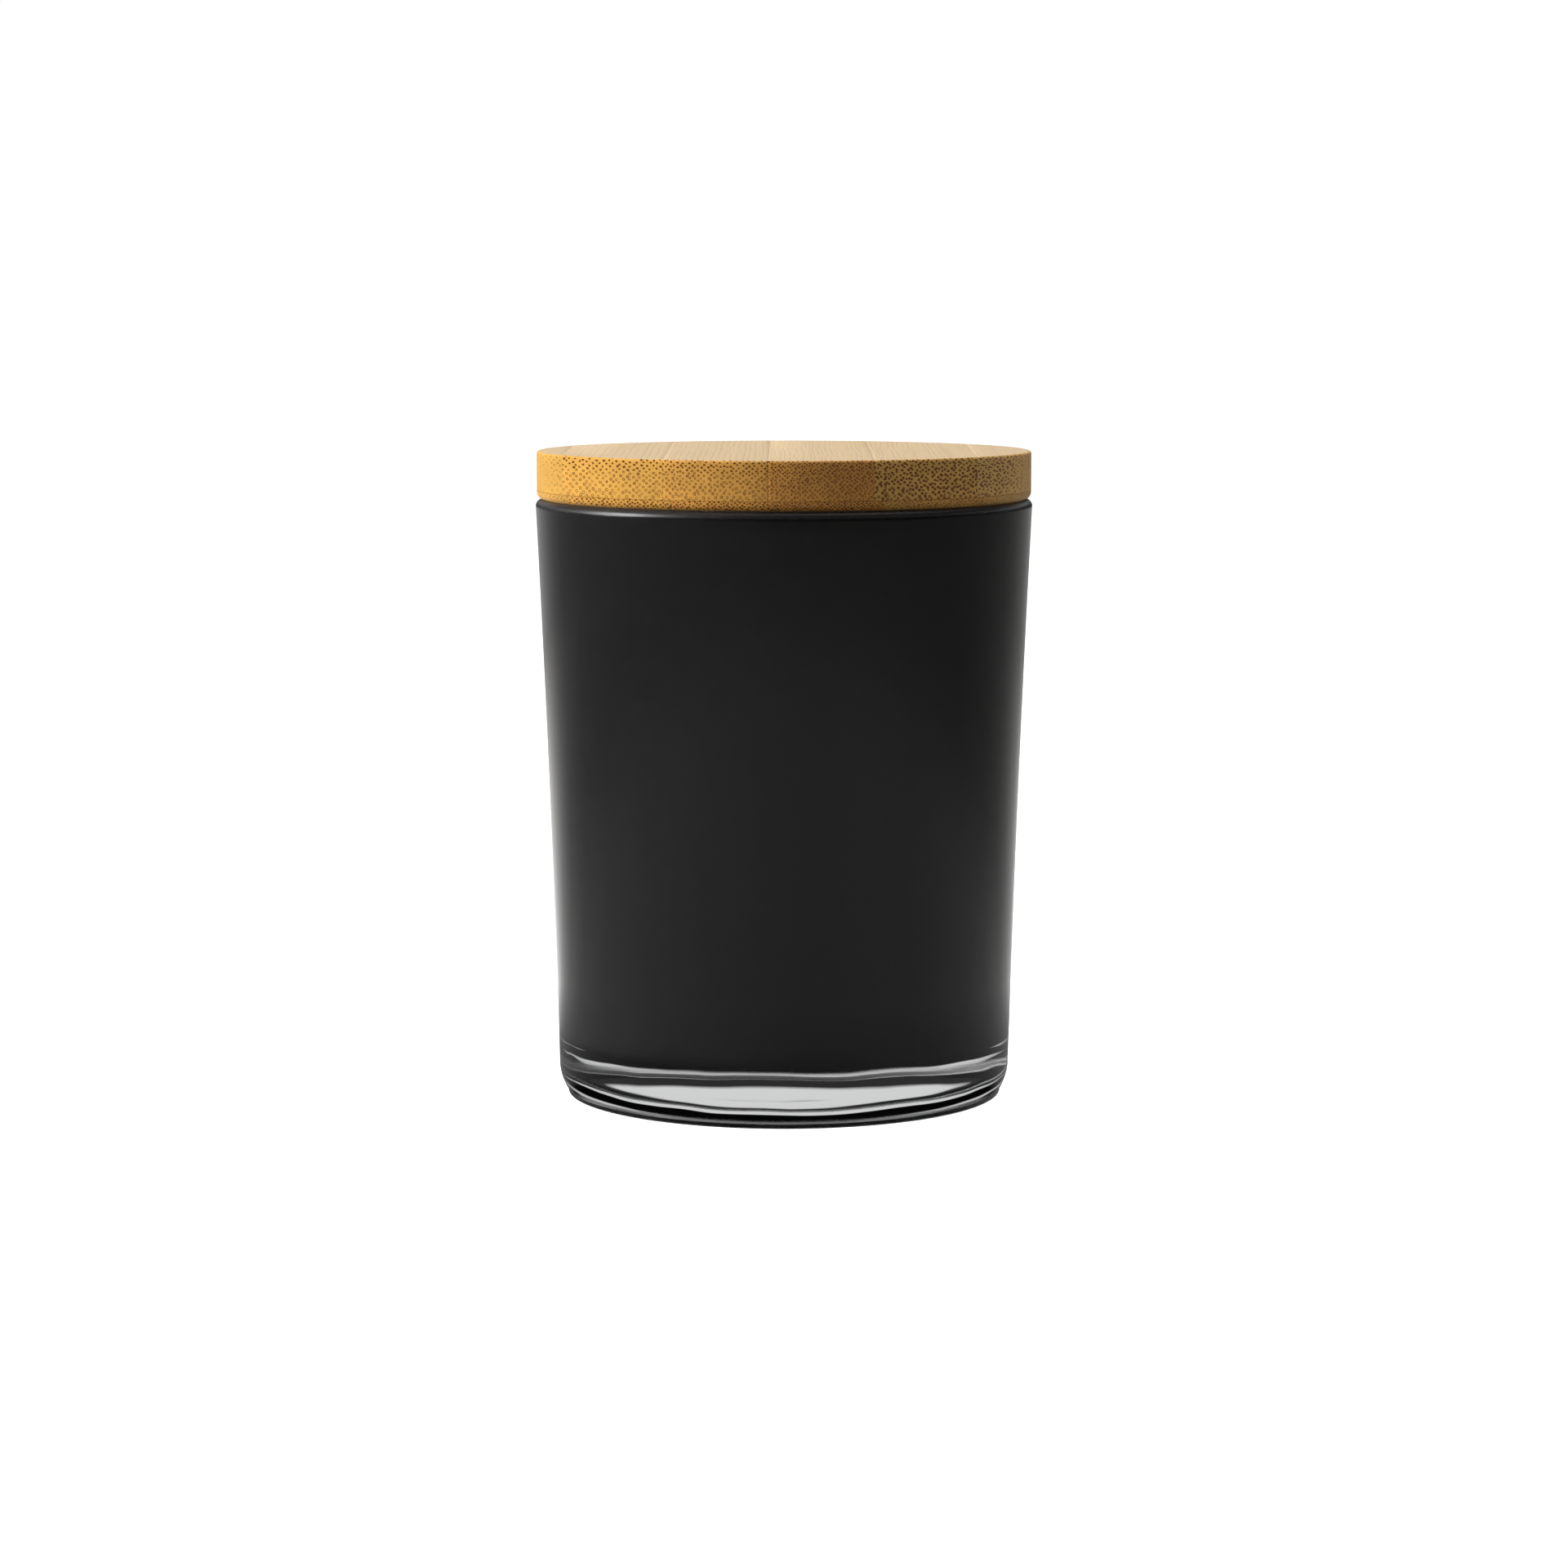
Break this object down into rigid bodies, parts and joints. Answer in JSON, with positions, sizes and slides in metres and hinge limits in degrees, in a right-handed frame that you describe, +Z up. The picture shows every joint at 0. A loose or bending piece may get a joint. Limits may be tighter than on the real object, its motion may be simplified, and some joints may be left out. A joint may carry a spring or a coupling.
{
  "type": "candle jar with lid",
  "caption": "Empty black-lined glass candle tumbler with a clear thick base, and a bamboo plug lid with a silicone seal that lifts off and turns.",
  "frame": {"origin": "on the jar's axis, in the plane of the foot ring that the jar stands on", "axes": "+Z up along the jar's axis; the bamboo's fibres and the seams between its strips run along Y"},
  "size_m": [0.0804, 0.0804, 0.1048],
  "materials": {
    "clear_glass": "gloss",
    "black_lacquer": "gloss",
    "bamboo_upper": "satin",
    "bamboo_lower": "satin",
    "silicone": "satin"
  },
  "bodies": {
    "jar": {"glass_tumbler": "clear_glass", "black_lining": "black_lacquer"},
    "seal": {"seal_ring": "silicone"},
    "lid": {"upper_strip_1": "bamboo_upper", "upper_strip_2": "bamboo_upper", "upper_strip_3": "bamboo_upper", "upper_strip_4": "bamboo_upper", "upper_strip_5": "bamboo_upper", "upper_strip_6": "bamboo_upper", "plug_strip_1": "bamboo_lower", "plug_strip_2": "bamboo_lower", "plug_strip_3": "bamboo_lower", "plug_strip_4": "bamboo_lower", "plug_strip_5": "bamboo_lower", "plug_strip_6": "bamboo_lower"}
  },
  "joints": [
    {"name": "lid_lift", "type": "slide", "parent": "jar", "child": "seal", "axis": [0, 0, 1], "range_m": [0, 0.09]},
    {"name": "lid_turn", "type": "hinge", "parent": "seal", "child": "lid", "pos_m": [0, 0, 0.097], "axis": [0, 0, 1], "continuous": true}
  ]
}
